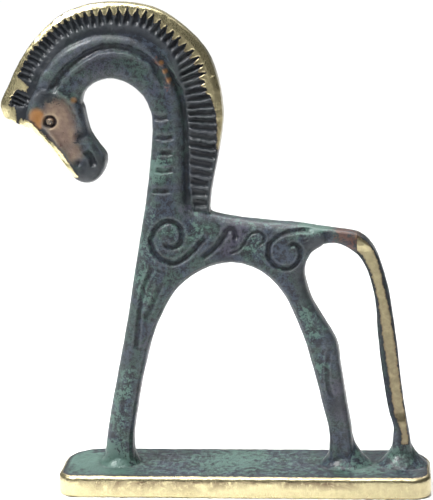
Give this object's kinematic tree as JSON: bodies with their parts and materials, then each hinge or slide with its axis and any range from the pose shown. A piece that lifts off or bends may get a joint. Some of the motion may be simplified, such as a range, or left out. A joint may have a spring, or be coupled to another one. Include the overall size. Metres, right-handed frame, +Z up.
{
  "type": "geometric bronze horse",
  "caption": "Flat cast bronze horse in the geometric style, with arched neck, fluted mane, carved curls and a long tail, standing on its plinth.",
  "frame": {"origin": "centre of the plinth's underside", "axes": "+X from the head towards the tail, +Y from the main carved face to the other face, +Z up"},
  "size_m": [0.1077, 0.025, 0.1252],
  "materials": {
    "patinated_bronze": "mottled green and grey patina over cast brass, with the brass rubbed bright on the mane's rim, the nose, the tail and the sides of the plinth"
  },
  "bodies": {
    "root": {"geometric_horse": "patinated_bronze"}
  },
  "joints": []
}
